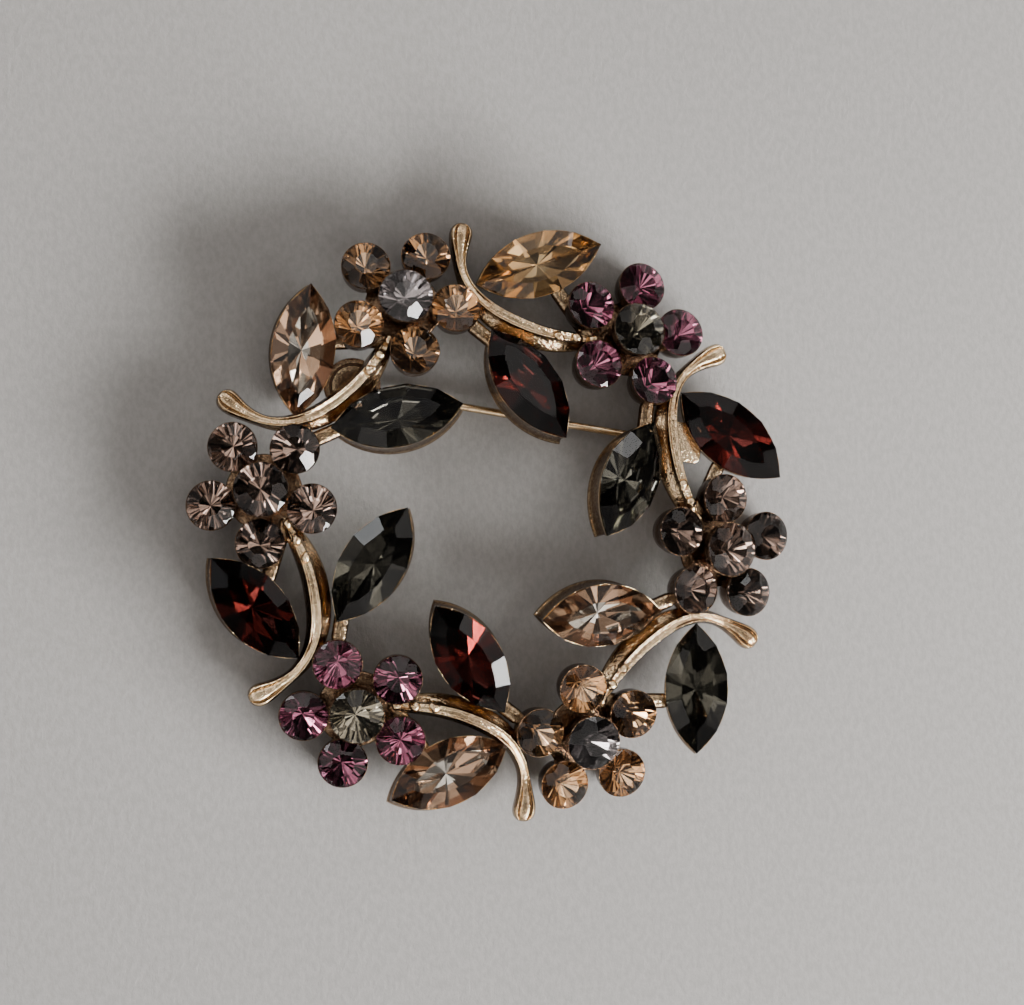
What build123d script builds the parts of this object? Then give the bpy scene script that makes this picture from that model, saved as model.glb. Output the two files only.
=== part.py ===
from build123d import *
import os
from math import asin, atan2, cos, degrees, hypot, pi, radians, sin, tan

# Wreath brooch, in millimetres. Six equal sprays stand in a ring. Each has a five-petal
# flower, a twig with a bud, an outer leaf and an inner leaf. +Z is up and the origin is the
# middle of the surface that the brooch lies on.

# Ring of sprays
spray_count = 6
first_spray_angle = 112.3
flower_gap = 2.61

# Round stones
petal_stone_diameter = 4.2
centre_stone_diameter = 4.7
round_table_share = 0.44
round_crown_angle = 33.0
round_pavilion_angle = 38.0
round_mains = 8
round_culet_share = 0.06
round_half_crown_extra = 9.0
round_half_pavilion_extra = 4.0
girdle_thickness = 0.12

# Leaf stones, pointed ovals
leaf_stone_length = 12.0
leaf_stone_width = 5.85
leaf_table_share = 0.54
leaf_crown_angle = 28.0
leaf_pavilion_angle = 31.0
leaf_side_facets = 5

# Settings
stone_gap = 0.04
rim_wall = 0.15
rim_lip = 0.16
cup_depth = 2.25
cup_waist_share = 0.4
cup_foot_share = 0.80
centre_foot_share = 0.64
leaf_cup_depth = 2.45
leaf_cup_inset = 0.04
leaf_foot_share = 0.96
pocket_foot_share = 0.2
leaf_pocket_length_share = 0.45
leaf_pocket_width_share = 0.08
tip_factor = 1.6
base_thickness = 1.2

# Flower
petal_count = 5
petal_gap = 0.24
petal_turn = 22.7
flower_lean = 13.0
centre_rise = 1.4
flower_base_radius = 3.45

# Leaves: place of the fixed tip as shares of wreath_radius, its height in shares of cup_depth
outer_leaf = {
    "out": 0.927,
    "along": -0.324,
    "rise": -0.415,
    "heading": -93.3,
    "pitch": 7.0,
    "roll": 4.0,
}
inner_leaf = {
    "out": 0.750,
    "along": -0.293,
    "rise": 0.165,
    "heading": -168.7,
    "pitch": 11.8,
    "roll": -17.0,
}

# How each spray's leaves are bent by hand: shares of stone length, then degrees
bend_columns = ("outer_shift", "outer_turn", "outer_roll", "inner_turn", "inner_roll")
bend_rows = (
    (0.040, -1.5, -0.7, -2.0, 9.0),
    (0.015, -0.8, 3.5, -0.6, 4.0),
    (0.000, 7.8, 7.8, -0.2, 2.0),
    (-0.072, 3.4, 1.0, 1.0, 2.5),
    (0.060, -8.0, -3.0, -5.0, 3.8),
    (-0.064, 4.5, -4.5, 6.0, 1.5),
)

# Twig
twig_width = 2.6
twig_crest_width = 0.62
twig_groove = 0.5
strap_width = 1.9
strap_thickness = 0.9
strap_lift = 0.3
strap_rise = 0.5
strap_shift = 1.2
root_strap_share = 0.14
root_petal_number = 3
twig_outer_waist = 0.55
twig_inner_waist = 0.62

# Shares of: wreath_radius (out, along), cup_depth (crest, depth), twig_width (outer, inner),
# twig_crest_width (top) and twig_groove (groove). From the bud's tip to the next flower.
twig_columns = ("out", "along", "crest", "depth", "outer", "inner", "top", "groove")
twig_rows = (
    (1.212, -0.384, -0.74, 0.30, 0.16, 0.16, 0.45, 0.10),
    (1.196, -0.373, -0.62, 0.60, 0.36, 0.36, 1.10, 0.60),
    (1.155, -0.347, -0.60, 0.66, 0.40, 0.40, 1.20, 1.00),
    (1.100, -0.320, -0.66, 0.60, 0.29, 0.29, 0.80, 0.70),
    (1.030, -0.296, -0.62, 0.55, 0.19, 0.21, 0.60, 0.30),
    (0.950, -0.292, -0.34, 0.66, 0.24, 0.34, 0.80, 0.20),
    (0.855, -0.319, 0.02, 0.86, 0.28, 0.52, 1.00, 0.16),
    (0.766, -0.383, 0.18, 0.94, 0.29, 0.66, 1.10, 0.16),
    (0.664, -0.486, 0.18, 0.94, 0.29, 0.70, 1.00, 0.16),
    (0.596, -0.590, 0.06, 0.86, 0.27, 0.56, 0.80, 0.10),
    (0.542, -0.700, -0.18, 0.70, 0.22, 0.34, 0.60, 0.04),
)

# Pin and its fittings, on the underside
pin_wire_radius = 0.35
pin_drop = 2.9
pin_reach = 1.9
pin_taper = 3.9
pin_point_radius = 0.05
pin_root_radius = 0.46
pin_root_length = 2.0
rivet_radius = 0.35
rivet_clearance = 0.05
rivet_head_radius = 0.60
rivet_head_height = 0.22
rivet_seat_gap = 0.03
eye_wall = 0.38
eye_width = 1.3
eye_side_clearance = 0.10
ear_thickness = 0.45
ear_wall = 0.56
pad_thickness = 0.45
pad_drop = 1.45
hinge_pad_radius = 2.6
catch_pad_length = 3.6
catch_pad_width = 3.6
catch_pad_corner = 0.6
catch_pad_shift = 0.6
catch_length = 1.6
catch_wall = 0.46
catch_clearance = 0.10
hinge_spray = 5
hinge_station = 8
catch_spray = 1
catch_place = {"out": 0.763, "along": -0.438}

# Each petal clears the centre stone by petal_gap. Six flowers make a hexagon, so the ring's
# radius is the step between flowers: a leaf, half a flower and flower_gap for the twig.
petal_ring_radius = (petal_stone_diameter + centre_stone_diameter) / 2 + petal_gap
wreath_radius = leaf_stone_length + petal_ring_radius + petal_stone_diameter / 2 + flower_gap

# The brooch lies on its hinge and catch and on its outer petals.
ear_radius = rivet_radius + ear_wall
seat_height = pin_drop + ear_radius
spray_spots = [
    Location((0, 0, seat_height), (0, 0, first_spray_angle - 360 / spray_count * number))
    for number in range(spray_count)
]
bends = [dict(zip(bend_columns, row)) for row in bend_rows]


def facet_plane(azimuth, reach, height, slope):
    """Plane of one facet: through the point at reach and height, sloping down outwards by slope."""
    out, up = sin(radians(slope)), cos(radians(slope))
    turn = radians(azimuth)
    return Plane(
        origin=(reach * cos(turn), reach * sin(turn), height),
        z_dir=(out * cos(turn), out * sin(turn), up),
    )


def round_sizes(diameter):
    """Crown and pavilion heights of a round stone."""
    half = diameter / 2
    crown = half * (1 - round_table_share) * tan(radians(round_crown_angle))
    pavilion = half * (1 - round_culet_share) * tan(radians(round_pavilion_angle))
    return crown, pavilion


def facet_pair(azimuth, reach, crown_angle, pavilion_angle):
    """Crown facet and pavilion facet that meet the girdle on the same side."""
    return (
        facet_plane(azimuth, reach, girdle_thickness, crown_angle),
        facet_plane(azimuth, reach, 0, 180 - pavilion_angle),
    )


def round_stone(diameter):
    """Round stone with its girdle's lower edge at z = 0 and its table up."""
    half = diameter / 2
    sides = round_mains * 2
    step = 360 / round_mains
    crown, pavilion = round_sizes(diameter)
    planes = []
    for number in range(round_mains):
        planes += facet_pair(step * number, half, round_crown_angle, round_pavilion_angle)
    for number in range(sides):
        planes += facet_pair(
            step / 2 * (number + 0.5),
            half * cos(pi / sides),
            round_crown_angle + round_half_crown_extra,
            round_pavilion_angle + round_half_pavilion_extra,
        )
    with BuildPart() as stone:
        with BuildSketch(Plane.XY.offset(-pavilion)):
            RegularPolygon(half, sides)
        extrude(amount=pavilion + girdle_thickness + crown)
        for plane in planes:
            split(bisect_by=plane, keep=Keep.BOTTOM)
    return stone.part


def leaf_corners(length, width, side_facets):
    """Corners of a pointed oval's outline: two equal arcs that meet at the tips."""
    half_length, half_width = length / 2, width / 2
    arc_radius = (half_length**2 + half_width**2) / (2 * half_width)
    tip_turn = asin(half_length / arc_radius)
    turns = [tip_turn * (2 * number / side_facets - 1) for number in range(side_facets + 1)]
    drop = arc_radius - half_width
    upper = [(arc_radius * sin(turn), arc_radius * cos(turn) - drop) for turn in turns]
    lower = [(-x, -y) for x, y in upper[1:-1]]
    return upper + lower


def leaf_sizes():
    """Crown and pavilion heights of a leaf stone."""
    half_width = leaf_stone_width / 2
    crown = half_width * (1 - leaf_table_share) * tan(radians(leaf_crown_angle))
    pavilion = half_width * tan(radians(leaf_pavilion_angle))
    return crown, pavilion


def leaf_stone():
    """Pointed-oval stone along X with its girdle's lower edge at z = 0 and its table up."""
    crown, pavilion = leaf_sizes()
    corners = leaf_corners(leaf_stone_length, leaf_stone_width, leaf_side_facets)
    with BuildPart() as stone:
        with BuildSketch(Plane.XY.offset(-pavilion)):
            with BuildLine():
                Polyline(*corners, close=True)
            make_face()
        extrude(amount=pavilion + girdle_thickness + crown)
        for start, end in zip(corners, corners[1:] + corners[:1]):
            turn = atan2(end[0] - start[0], start[1] - end[1])
            reach = start[0] * cos(turn) + start[1] * sin(turn)
            for plane in facet_pair(degrees(turn), reach, leaf_crown_angle, leaf_pavilion_angle):
                split(bisect_by=plane, keep=Keep.BOTTOM)
    return stone.part


def round_cup(diameter, foot_radius):
    """Solid cup of a round stone, with its rim just above the girdle."""
    rim_radius = diameter / 2 + stone_gap + rim_wall
    top = girdle_thickness + rim_lip
    with BuildPart() as cup:
        with BuildSketch(Plane.XZ):
            with BuildLine():
                Polyline(
                    (0, -cup_depth),
                    (foot_radius, -cup_depth),
                    (rim_radius, -cup_depth * cup_waist_share),
                    (rim_radius, top),
                    (0, top),
                    close=True,
                )
            make_face()
        revolve(axis=Axis.Z)
    return cup.part


def round_pocket(diameter):
    """Room for a round stone: a cone for its pavilion and the space over its crown."""
    radius = diameter / 2 + stone_gap
    crown, pavilion = round_sizes(diameter)
    with BuildPart() as pocket:
        with BuildSketch(Plane.XZ):
            with BuildLine():
                Polyline(
                    (0, -pavilion - stone_gap),
                    (radius * pocket_foot_share, -pavilion - stone_gap),
                    (radius, -stone_gap),
                    (radius, girdle_thickness + crown + stone_gap),
                    (0, girdle_thickness + crown + stone_gap),
                    close=True,
                )
            make_face()
        revolve(axis=Axis.Z)
    return pocket.part


def leaf_outline(half_length, half_width):
    """Face of a pointed oval along X, drawn as two arcs."""
    with BuildSketch() as outline:
        with BuildLine():
            ThreePointArc((-half_length, 0), (0, half_width), (half_length, 0))
            ThreePointArc((half_length, 0), (0, -half_width), (-half_length, 0))
        make_face()
    return outline.sketch


def leaf_loft(levels):
    """Solid through pointed ovals, each given as height, half length and half width."""
    with BuildPart() as solid:
        for height, half_length, half_width in levels:
            with BuildSketch(Plane.XY.offset(height)):
                add(leaf_outline(half_length, half_width))
        loft(ruled=True)
    return solid.part


def leaf_cup():
    """Solid cup of a leaf stone, which hides under the stone's edge."""
    half_length = leaf_stone_length / 2 - leaf_cup_inset
    half_width = leaf_stone_width / 2 - leaf_cup_inset
    return leaf_loft(
        (
            (-leaf_cup_depth, half_length * leaf_foot_share, half_width * leaf_foot_share),
            (-stone_gap, half_length, half_width),
        )
    )


def leaf_pocket():
    """Room for a leaf stone."""
    half_length = leaf_stone_length / 2 + stone_gap * tip_factor
    half_width = leaf_stone_width / 2 + stone_gap
    foot_length = half_length * leaf_pocket_length_share
    foot_width = half_width * leaf_pocket_width_share
    crown, pavilion = leaf_sizes()
    return leaf_loft(
        (
            (-pavilion - stone_gap, foot_length, foot_width),
            (-stone_gap, half_length, half_width),
            (girdle_thickness + crown + stone_gap, half_length, half_width),
        )
    )


def spray_point(out, along):
    """Point of the spray's own plane, from shares of wreath_radius."""
    return wreath_radius * out, wreath_radius * along


def leaf_spot(leaf, shift, turn, roll):
    """Middle of a leaf stone in its spray, after the leaf is bent about its fixed tip."""
    x, y = spray_point(leaf["out"], leaf["along"])
    tip = Location((x + shift * leaf_stone_length, y, leaf["rise"] * cup_depth))
    turned = Location((0, 0, 0), (0, 0, leaf["heading"] + turn))
    pitched = Location((0, 0, 0), (0, -leaf["pitch"], 0))
    rolled = Location((0, 0, 0), (leaf["roll"] + roll, 0, 0))
    return tip * turned * pitched * rolled * Location((leaf_stone_length / 2, 0, 0))


def twig():
    """Bud and stem in one: a grooved crest with a narrow outer and a broad inner flank."""
    rows = [dict(zip(twig_columns, row)) for row in twig_rows]
    points = [spray_point(row["out"], row["along"]) for row in rows]
    with BuildPart() as solid:
        for number, row in enumerate(rows):
            x, y = points[number]
            before, after = points[max(number - 1, 0)], points[min(number + 1, len(rows) - 1)]
            run = (after[0] - before[0], after[1] - before[1])
            length = hypot(*run)
            crest = Plane(
                origin=(x, y, row["crest"] * cup_depth),
                x_dir=(-run[1] / length, run[0] / length, 0),
                z_dir=(run[0] / length, run[1] / length, 0),
            )
            depth = row["depth"] * cup_depth
            outer, inner = row["outer"] * twig_width, row["inner"] * twig_width
            top = row["top"] * twig_crest_width / 2
            with BuildSketch(crest):
                with BuildLine():
                    Polyline(
                        (outer, -depth),
                        (outer, -depth * twig_outer_waist),
                        (top, 0),
                        (0, -row["groove"] * twig_groove),
                        (-top, 0),
                        (-inner, -depth * twig_inner_waist),
                        (-inner, -depth),
                        close=True,
                    )
                make_face()
        loft()
    return solid.part


def strap(start, end, top):
    """Flat bar between two points of the spray, with its upper face at height top."""
    run = (end[0] - start[0], end[1] - start[1])
    length = hypot(*run)
    plane = Plane(origin=(*start, top - strap_thickness), x_dir=(*run, 0), z_dir=(0, 0, 1))
    with BuildPart() as bar:
        with BuildSketch(plane):
            with Locations((length / 2, 0)):
                SlotOverall(length + strap_width, strap_width)
        extrude(amount=strap_thickness)
    return bar.part


flower_spot = Location((wreath_radius, 0, 0)) * Location((0, 0, 0), (0, flower_lean, 0))
petal_spots = [flower_spot * spot for spot in PolarLocations(petal_ring_radius, petal_count, petal_turn)]
centre_spot = flower_spot * Location((0, 0, centre_rise))
outer_leaf_spots = [
    leaf_spot(outer_leaf, bend["outer_shift"], bend["outer_turn"], bend["outer_roll"])
    for bend in bends
]
inner_leaf_spots = [
    leaf_spot(inner_leaf, 0, bend["inner_turn"], bend["inner_roll"])
    for bend in bends
]

petal_rim = petal_stone_diameter / 2 + stone_gap + rim_wall
petal_cup = round_cup(petal_stone_diameter, petal_rim * cup_foot_share)
petal_pocket = round_pocket(petal_stone_diameter)
centre_rim = centre_stone_diameter / 2 + stone_gap + rim_wall
centre_cup = round_cup(centre_stone_diameter, centre_rim * centre_foot_share)
centre_pocket = round_pocket(centre_stone_diameter)
leaf_cup_solid = leaf_cup()
leaf_pocket_solid = leaf_pocket()

strap_top = -cup_depth + strap_thickness + strap_lift
twig_end = spray_point(twig_rows[-1][0], twig_rows[-1][1])
root_petal = petal_spots[root_petal_number].position

with BuildPart() as spray:
    flower_floor = Plane(flower_spot).offset(-cup_depth)
    with BuildSketch(flower_floor):
        Circle(flower_base_radius)
    extrude(amount=base_thickness)
    with BuildSketch(flower_floor):
        Circle(centre_rim * centre_foot_share)
    extrude(amount=centre_rise + cup_depth / 2)
    add([petal_cup.moved(spot) for spot in petal_spots])
    add(centre_cup.moved(centre_spot))
    add(twig())

# Straps tie each outer leaf to the next flower and each inner leaf to its own flower.
metal, pockets = [], []
for number, spray_spot in enumerate(spray_spots):
    outer_spot, inner_spot = outer_leaf_spots[number], inner_leaf_spots[number]
    side = (outer_spot * Location((strap_shift, -leaf_stone_width / 2, 0))).position
    root = (inner_spot * Location(((root_strap_share - 0.5) * leaf_stone_length, 0, 0))).position
    pieces = [
        spray.part,
        leaf_cup_solid.moved(outer_spot),
        leaf_cup_solid.moved(inner_spot),
        strap((side.X, side.Y), twig_end, strap_top),
        strap((root_petal.X, root_petal.Y), (root.X, root.Y), strap_top + strap_rise),
    ]
    metal += [piece.moved(spray_spot) for piece in pieces]
    rooms = [petal_pocket.moved(spot) for spot in petal_spots]
    rooms += [centre_pocket.moved(centre_spot)]
    rooms += [leaf_pocket_solid.moved(spot) for spot in (outer_spot, inner_spot)]
    pockets += [room.moved(spray_spot) for room in rooms]


def spray_place(number, out, along, height):
    """Point of the whole brooch that lies at a place in one spray."""
    return (spray_spots[number] * Location((*spray_point(out, along), height))).position


# The pin's frame: X from hinge to catch, Y across and Z up.
hinge_row = dict(zip(twig_columns, twig_rows[hinge_station]))
hinge_place = spray_place(hinge_spray, hinge_row["out"], hinge_row["along"], -pin_drop)
catch_centre = spray_place(catch_spray, catch_place["out"], catch_place["along"], -pin_drop)
pin_run = catch_centre - hinge_place
pin_plane = Plane(origin=hinge_place, x_dir=pin_run, z_dir=(0, 0, 1))
across = pin_plane.y_dir
eye_bore = rivet_radius + rivet_clearance
eye_radius = eye_bore + eye_wall
ear_inside = eye_width / 2 + eye_side_clearance
pad_rise = pin_drop - pad_drop
catch_bore = pin_wire_radius + catch_clearance
catch_radius = catch_bore + catch_wall

with BuildPart() as wreath_setting:
    add(metal)
    with BuildSketch(pin_plane.offset(pad_rise)):
        Circle(hinge_pad_radius)
        with Locations((pin_run.length + catch_pad_shift, 0)):
            RectangleRounded(catch_pad_length, catch_pad_width, catch_pad_corner)
    extrude(amount=-pad_thickness)
    for side in (-1, 1):
        middle = hinge_place + across * side * (ear_inside + ear_thickness / 2)
        with BuildSketch(Plane(origin=middle, x_dir=pin_run, z_dir=-across)):
            Circle(ear_radius)
            with Locations((0, pad_rise / 2)):
                Rectangle(ear_radius * 2, pad_rise - pad_thickness / 2)
            Circle(rivet_radius + stone_gap, mode=Mode.SUBTRACT)
        extrude(amount=ear_thickness / 2, both=True)
    with BuildSketch(Plane(origin=catch_centre, x_dir=across, z_dir=pin_run)):
        Circle(catch_radius)
        with Locations((0, pad_rise / 2)):
            Rectangle(catch_radius * 2, pad_rise - pad_thickness / 2)
        Circle(catch_bore, mode=Mode.SUBTRACT)
        with Locations((0, -catch_radius / 2)):
            Rectangle(catch_bore * 2, catch_radius, mode=Mode.SUBTRACT)
    extrude(amount=catch_length / 2, both=True)
    add(pockets, mode=Mode.SUBTRACT)

with BuildPart() as pin:
    pin_length = pin_run.length + pin_reach
    with BuildSketch(Plane(origin=hinge_place, x_dir=pin_run, z_dir=-across)):
        Circle(eye_radius)
    extrude(amount=eye_width / 2, both=True)
    with BuildSketch(Plane(origin=hinge_place, x_dir=pin_run, z_dir=-across)):
        with BuildLine():
            Polyline(
                (eye_bore, 0),
                (eye_bore, pin_root_radius),
                (pin_root_length, pin_wire_radius),
                (pin_length - pin_taper, pin_wire_radius),
                (pin_length, pin_point_radius),
                (pin_length, 0),
                close=True,
            )
        make_face()
    revolve(axis=Axis(hinge_place, pin_run))
    with BuildSketch(Plane(origin=hinge_place, x_dir=pin_run, z_dir=-across)):
        Circle(eye_bore)
    extrude(amount=eye_width, both=True, mode=Mode.SUBTRACT)

with BuildPart() as hinge_rivet:
    half_grip = ear_inside + ear_thickness + rivet_seat_gap
    with BuildSketch(Plane(origin=hinge_place, x_dir=pin_run, z_dir=-across)):
        Circle(rivet_radius)
    extrude(amount=half_grip, both=True)
    for side in (-1, 1):
        seat = hinge_place + across * side * half_grip
        with BuildSketch(Plane(origin=seat, x_dir=pin_run, z_dir=across * side)):
            Circle(rivet_head_radius)
        extrude(amount=rivet_head_height)

os.makedirs("parts", exist_ok=True)


def write_piece(piece, label):
    """Label one finished piece and write it under its own name."""
    piece.label = label
    export_step(piece, f"parts/{label}.step")


write_piece(wreath_setting.part, "wreath_setting")
write_piece(pin.part, "pin")
write_piece(hinge_rivet.part, "hinge_rivet")
petal_stone = round_stone(petal_stone_diameter)
centre_stone = round_stone(centre_stone_diameter)
leaf_gem = leaf_stone()
for number, spot in enumerate(spray_spots, start=1):
    for petal, petal_spot in enumerate(petal_spots, start=1):
        write_piece(petal_stone.moved(spot * petal_spot), f"flower_{number}_petal_{petal}")
    write_piece(centre_stone.moved(spot * centre_spot), f"flower_{number}_centre")
    write_piece(leaf_gem.moved(spot * outer_leaf_spots[number - 1]), f"outer_leaf_{number}")
    write_piece(leaf_gem.moved(spot * inner_leaf_spots[number - 1]), f"inner_leaf_{number}")
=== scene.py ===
from math import atan2, cos, pi, radians, sin, tan

import bmesh
import bpy
from mathutils import Euler, Matrix, Vector


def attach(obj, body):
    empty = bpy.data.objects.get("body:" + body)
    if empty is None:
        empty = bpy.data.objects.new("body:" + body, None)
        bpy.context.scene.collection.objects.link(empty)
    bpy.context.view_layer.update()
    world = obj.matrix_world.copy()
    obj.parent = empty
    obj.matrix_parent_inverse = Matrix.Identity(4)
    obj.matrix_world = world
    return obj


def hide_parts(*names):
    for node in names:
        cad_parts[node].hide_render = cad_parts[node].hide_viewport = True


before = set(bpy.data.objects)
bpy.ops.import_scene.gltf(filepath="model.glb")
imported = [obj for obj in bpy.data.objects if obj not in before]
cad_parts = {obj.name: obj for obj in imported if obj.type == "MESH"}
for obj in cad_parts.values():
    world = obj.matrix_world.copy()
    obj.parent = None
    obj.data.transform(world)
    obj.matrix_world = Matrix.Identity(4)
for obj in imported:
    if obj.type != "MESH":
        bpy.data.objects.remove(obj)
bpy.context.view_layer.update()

mm = 0.001
hair = 0.0001 * mm  # thinner than anything on the brooch
print("frame loaded")


class Shade:  # a shader socket that can be added, subtracted and multiplied
    def __init__(self, tree, socket=None):
        self.tree = tree
        self.socket = socket

    def plug(self, place, value):
        if isinstance(value, Shade):
            self.tree.links.new(value.socket, place)
        else:
            place.default_value = value

    def node(self, kind, settings=None, inputs=None, output=0):
        made = self.tree.nodes.new(kind)
        for name, value in (settings or {}).items():
            setattr(made, name, value)
        for name, value in (inputs or {}).items():
            self.plug(made.inputs[name], value)
        return Shade(self.tree, made.outputs[output])

    def maths(self, operation, first, second):
        return self.node("ShaderNodeMath", {"operation": operation}, {0: first, 1: second})

    def __add__(self, other):
        return self.maths("ADD", self, other)

    def __radd__(self, other):
        return self.maths("ADD", other, self)

    def __sub__(self, other):
        return self.maths("SUBTRACT", self, other)

    def __rsub__(self, other):
        return self.maths("SUBTRACT", other, self)

    def __mul__(self, other):
        return self.maths("MULTIPLY", self, other)

    def __rmul__(self, other):
        return self.maths("MULTIPLY", other, self)

    def between(self, low, high, start=0.0, end=1.0):  # a smooth step from low to high
        return self.node(
            "ShaderNodeMapRange",
            {"interpolation_type": "SMOOTHSTEP"},
            {"Value": self, "From Min": low, "From Max": high, "To Min": start, "To Max": end},
        )

    def noise(self, scale, detail=2.0, roughness=0.5, stretch=(1.0, 1.0, 1.0)):
        place = self.node("ShaderNodeTexCoord", output=3)
        place = self.node("ShaderNodeMapping", inputs={"Vector": place, "Scale": stretch})
        return self.node(
            "ShaderNodeTexNoise",
            inputs={"Vector": place, "Scale": scale, "Detail": detail, "Roughness": roughness},
        )

    def blend(self, first, second):  # self is the share of the second colour
        return self.node("ShaderNodeMix", {"data_type": "RGBA"}, {0: self, 6: first, 7: second}, 2)

    def bump(self, strength, distance):
        return self.node(
            "ShaderNodeBump", inputs={"Height": self, "Strength": strength, "Distance": distance}
        )


def finish(name, fixed, build):  # a material: fixed values, and from build the varying ones
    made = bpy.data.materials.new(name)
    made.use_nodes = True
    tree = made.node_tree
    skin = next(n for n in tree.nodes if n.type == "BSDF_PRINCIPLED")
    for key, value in fixed.items():
        skin.inputs[key].default_value = value
    for key, value in build(Shade(tree)).items():
        tree.links.new(value.socket, skin.inputs[key])
    return made


def tone(red, green, blue):
    return (red, green, blue, 1.0)


# in the finishes, a range goes from low to high and, where it has four numbers, gives the last two
gold = {
    "bright": tone(0.86, 0.67, 0.43),
    "dull": tone(0.52, 0.36, 0.21),
    # the darkest colour is painted shade, laid on flanks, in hollows and deep inside pieces
    "paintedShade": tone(0.12, 0.07, 0.042),
    "patchScale": 240, "patchGrain": 0.6, "patchRange": (0.3, 0.75),
    # grain and range of that painted shade
    "paintedShadeGrain": 0.5, "paintedShadeRange": (0.1, 0.9),
    "polishScale": 900, "polishRange": (0.3, 0.8, 0.10, 0.24),
    "grainScale": 3400, "grainDepth": 0.00009,
    "waveScale": 620, "waveDepth": 0.00005, "reliefStrength": 0.8,
}


def castGold(s):  # painted shade: the piece's own attribute tells how far a point lies on a flank, in a hollow or deep in the piece, and the gold is darkened there
    grain = s.noise(gold["grainScale"], 2, 0.6)
    wave = s.noise(gold["waveScale"], 2, 0.5)
    paintedShade = s.node("ShaderNodeAttribute", {"attribute_name": "paintedShade"}, output=2)
    patches = s.noise(gold["patchScale"], 3) + grain * gold["patchGrain"] - gold["patchGrain"] / 2
    plain = patches.between(*gold["patchRange"]).blend(gold["bright"], gold["dull"])
    # painted shade: the attribute, roughened by the grain, blends the gold towards its darkest
    # colour
    depth = paintedShade + grain * gold["paintedShadeGrain"] - gold["paintedShadeGrain"] / 2
    relief = grain * gold["grainDepth"] + wave * gold["waveDepth"]
    return {
        "Base Color": depth.between(*gold["paintedShadeRange"]).blend(plain, gold["paintedShade"]),
        "Roughness": s.noise(gold["polishScale"], 3).between(*gold["polishRange"]),
        "Normal": relief.bump(gold["reliefStrength"], 1.0),
    }


castMetal = finish("cast champagne gold", {"Metallic": 1.0}, castGold)

wire = {
    "bright": tone(0.85, 0.66, 0.42),
    "deep": tone(0.66, 0.47, 0.28),
    "patchScale": 900, "patchRange": (0.3, 0.7),
    "polishScale": 1500, "polishRange": (0.3, 0.7, 0.14, 0.26),
}


def drawnWire(s):
    patches = s.noise(wire["patchScale"], 2).between(*wire["patchRange"])
    return {
        "Base Color": patches.blend(wire["bright"], wire["deep"]),
        "Roughness": s.noise(wire["polishScale"], 2).between(*wire["polishRange"]),
    }


wireMetal = finish("drawn wire", {"Metallic": 1.0}, drawnWire)

# what the stones share: how much their surface reflects, and the brightness of the foil's three
# copies, painted light and shade that make the wedges behind some facets bright and behind others
# dark
cutStone = {"ior": 1.54, "shine": 0.5, "paintedWedgeLight": (1.0, 0.58, 0.16)}
glassClouds = {
    "scale": 260, "range": (0.3, 0.7), "paler": 1.04,
    "polishScale": 180, "polishRange": (0.45, 0.8, 0.0, 0.008),
}
foilClouds = {
    "scale": 420, "range": (0.35, 0.7), "duller": 0.85,
    "polishScale": 800, "polishRange": (0.3, 0.8, 0.03, 0.08),
}

# each kind of stone: its slot, the colours of the glass, of the sloped facets on top and of the
# foil behind it, and its own shine or its own painted light and shade of the foil's copies where it
# has them
glasses = {
    "topaz": {
        "slot": "topaz_glass",
        "glass": (0.96, 0.90, 0.82), "crown": (0.84, 0.65, 0.47), "foil": (0.92, 0.76, 0.60),
    },
    "amber": {
        "slot": "topaz_glass", "paintedWedgeLight": (1.0, 0.75, 0.42),
        "glass": (0.98, 0.94, 0.84), "crown": (0.86, 0.66, 0.45), "foil": (0.96, 0.82, 0.63),
    },
    "amethyst": {
        "slot": "amethyst_glass",
        "glass": (0.92, 0.76, 0.82), "crown": (0.74, 0.53, 0.61), "foil": (0.74, 0.49, 0.58),
    },
    "smoke": {
        "slot": "smoky_glass",
        "glass": (0.90, 0.85, 0.82), "crown": (0.74, 0.67, 0.63), "foil": (0.66, 0.57, 0.52),
    },
    "blackDiamond": {
        "slot": "black_diamond_glass",
        "glass": (0.90, 0.89, 0.89), "crown": (0.72, 0.70, 0.70), "foil": (0.62, 0.59, 0.59),
    },
    "olive": {
        "slot": "black_diamond_glass",
        "glass": (0.93, 0.92, 0.87), "crown": (0.70, 0.67, 0.61), "foil": (0.67, 0.645, 0.58),
    },
    "garnet": {
        "slot": "garnet_glass", "shine": 0.28,
        "glass": (0.70, 0.53, 0.50), "crown": (0.50, 0.35, 0.32), "foil": (0.26, 0.10, 0.09),
    },
    "darkGrey": {
        "slot": "dark_grey_glass", "shine": 0.4,
        "glass": (0.70, 0.70, 0.67), "crown": (0.46, 0.46, 0.44), "foil": (0.44, 0.43, 0.39),
    },
    "champagne": {
        "slot": "champagne_glass", "shine": 0.35, "paintedWedgeLight": (1.0, 0.80, 0.50),
        "glass": (0.99, 0.96, 0.92), "crown": (0.21, 0.095, 0.048), "foil": (0.98, 0.96, 0.92),
    },
}


def cloudy(clouds, first, second):  # a finish that drifts from one colour to another
    def build(s):
        share = s.noise(clouds["scale"], 2).between(*clouds["range"])
        return {
            "Base Color": share.blend(tone(*first), tone(*second)),
            "Roughness": s.noise(clouds["polishScale"], 2).between(*clouds["polishRange"]),
        }

    return build


def clear(colour):
    paler = tuple(min(1.0, v * glassClouds["paler"]) for v in colour)
    return cloudy(glassClouds, colour, paler)


def foiled(colour, share):
    lit = tuple(v * share for v in colour)
    return cloudy(foilClouds, lit, tuple(v * foilClouds["duller"] for v in lit))


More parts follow.
